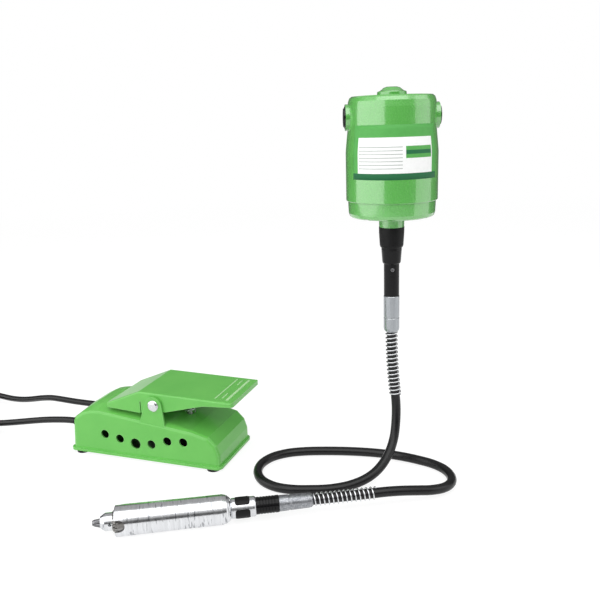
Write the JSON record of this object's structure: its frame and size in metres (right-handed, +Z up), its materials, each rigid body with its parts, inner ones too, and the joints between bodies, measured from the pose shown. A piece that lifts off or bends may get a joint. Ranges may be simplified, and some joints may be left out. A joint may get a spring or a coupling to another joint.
{
  "type": "rotary tool with flexible shaft",
  "caption": "Hanging rotary tool: round green motor, flexible drive shaft, steel handpiece with keyed jaw chuck, and a foot pedal with treadle and coiled mains leads.",
  "frame": {"origin": "mouth of the hanger's threaded hole on top of the motor, on the motor's axis", "axes": "+Z up along the motor's axis, +X to the motor's right as seen from its front, +Y to its back; the pedal and the handpiece lie on a surface 415 mm below the origin"},
  "size_m": [0.7648, 0.3859, 0.415],
  "materials": {
    "green_paint": "glossy hammered paint",
    "laminated_iron": "stamped sheet stack",
    "enamelled_copper": "varnished wire",
    "copper": "turned",
    "phenolic": "moulded",
    "carbon": "pressed carbon",
    "spring_steel": "drawn wire, nickel plated",
    "black_gloss": "moulded, glossy",
    "bearing_steel": "ground and polished",
    "zinc_steel": "zinc plated",
    "machine_steel": "turned and ground",
    "core_wire": "wound wire, greased",
    "rubber": "matte rubber",
    "black_enamel": "satin black",
    "nickel": "nickel plated",
    "barrel_steel": "polished",
    "black_oxide": "black oxide",
    "black_pvc": "smooth black jacket"
  },
  "bodies": {
    "motor_shaft_and_pedal": {"motor_housing": "green_paint", "end_bell": "green_paint", "stator_core": "laminated_iron", "field_coils": "enamelled_copper", "brush_holders": "phenolic", "carbon_brushes": "carbon", "brush_springs": "spring_steel", "brush_caps": "black_gloss", "motor_bearing_races": "bearing_steel", "bell_screws": "zinc_steel", "lead_inlet": "rubber", "rubber_sleeve": "rubber", "lock_collar": "black_enamel", "coupling_tube": "black_enamel", "set_screw": "black_oxide", "upper_ferrule": "nickel", "upper_spring": "spring_steel", "sheath": "black_pvc", "lower_spring": "spring_steel", "lower_ferrule": "nickel", "ribbed_sleeve": "black_enamel", "joint_collar": "nickel", "grip_pads": "rubber", "handpiece_barrel": "barrel_steel", "spindle_bearing_races": "bearing_steel", "bearing_balls": "bearing_steel", "pedal_housing": "green_paint", "pedal_base": "zinc_steel", "pedal_feet": "rubber", "pedal_screws": "zinc_steel", "speed_control": "phenolic", "lead_glands": "rubber", "pivot_pin": "nickel", "return_spring": "spring_steel", "mains_lead": "black_pvc", "mains_lead_coil": "black_pvc", "mains_plug": "black_gloss", "outlet_lead": "black_pvc", "outlet_lead_coil": "black_pvc", "inline_socket": "black_gloss"},
    "armature": {"motor_shaft": "machine_steel", "armature_core": "laminated_iron", "armature_windings": "enamelled_copper", "commutator": "copper", "cooling_fan": "black_gloss", "motor_inner_rings": "bearing_steel", "drive_coupling": "machine_steel", "core_motor_end": "core_wire"},
    "spindle": {"spindle": "machine_steel", "spindle_inner_rings": "bearing_steel", "core_tool_end": "core_wire", "chuck_body": "barrel_steel"},
    "chuck_ring": {"chuck_sleeve": "black_oxide", "chuck_nut": "black_oxide"},
    "jaw_1": {"jaw_1": "black_oxide"},
    "jaw_2": {"jaw_2": "black_oxide"},
    "jaw_3": {"jaw_3": "black_oxide"},
    "treadle": {"treadle": "green_paint"},
    "plunger": {"plunger": "zinc_steel"}
  },
  "joints": [
    {"name": "armature_spin", "type": "hinge", "parent": "motor_shaft_and_pedal", "child": "armature", "pos_m": [0, 0, -0.0716], "axis": [0, 0, -1], "continuous": true},
    {"name": "spindle_spin", "type": "hinge", "parent": "motor_shaft_and_pedal", "child": "spindle", "pos_m": [-0.23449, -0.11704, -0.3997], "axis": [-0.9903, -0.1392, 0], "continuous": true},
    {"name": "chuck_ring_turn", "type": "hinge", "parent": "spindle", "child": "chuck_ring", "pos_m": [-0.27608, -0.12289, -0.3997], "axis": [-0.9903, -0.1392, 0], "range_deg": [0, 1080]},
    {"name": "jaw_1_slide", "type": "slide", "parent": "spindle", "child": "jaw_1", "axis": [0.9825, 0.0628, 0.1756], "range_m": [0, 0.008]},
    {"name": "jaw_2_slide", "type": "slide", "parent": "spindle", "child": "jaw_2", "axis": [0.9457, 0.3242, -0.0233], "range_m": [0, 0.008]},
    {"name": "jaw_3_slide", "type": "slide", "parent": "spindle", "child": "jaw_3", "axis": [0.9881, 0.0229, -0.1524], "range_m": [0, 0.008]},
    {"name": "treadle_pivot", "type": "hinge", "parent": "motor_shaft_and_pedal", "child": "treadle", "pos_m": [-0.25786, 0.06036, -0.3425], "axis": [0.3338, 0.9426, 0], "range_deg": [0, 14], "stiffness_Nm_per_rad": 2, "springref_deg": -14.32},
    {"name": "plunger_slide", "type": "slide", "parent": "motor_shaft_and_pedal", "child": "plunger", "axis": [0, 0, -1], "range_m": [0, 0.0059], "stiffness_N_per_m": 200, "springref_m": -0.005, "deforming": ["return_spring"]}
  ],
  "couplings": [
    {"joint": "spindle_spin", "follows": "armature_spin", "ratio": 1},
    {"joint": "chuck_ring_turn", "follows": "jaw_1_slide", "rad_per_m": 2356.2},
    {"joint": "jaw_2_slide", "follows": "jaw_1_slide", "ratio": 1},
    {"joint": "jaw_3_slide", "follows": "jaw_1_slide", "ratio": 1},
    {"joint": "plunger_slide", "follows": "treadle_pivot", "m_per_rad": 0.024}
  ]
}
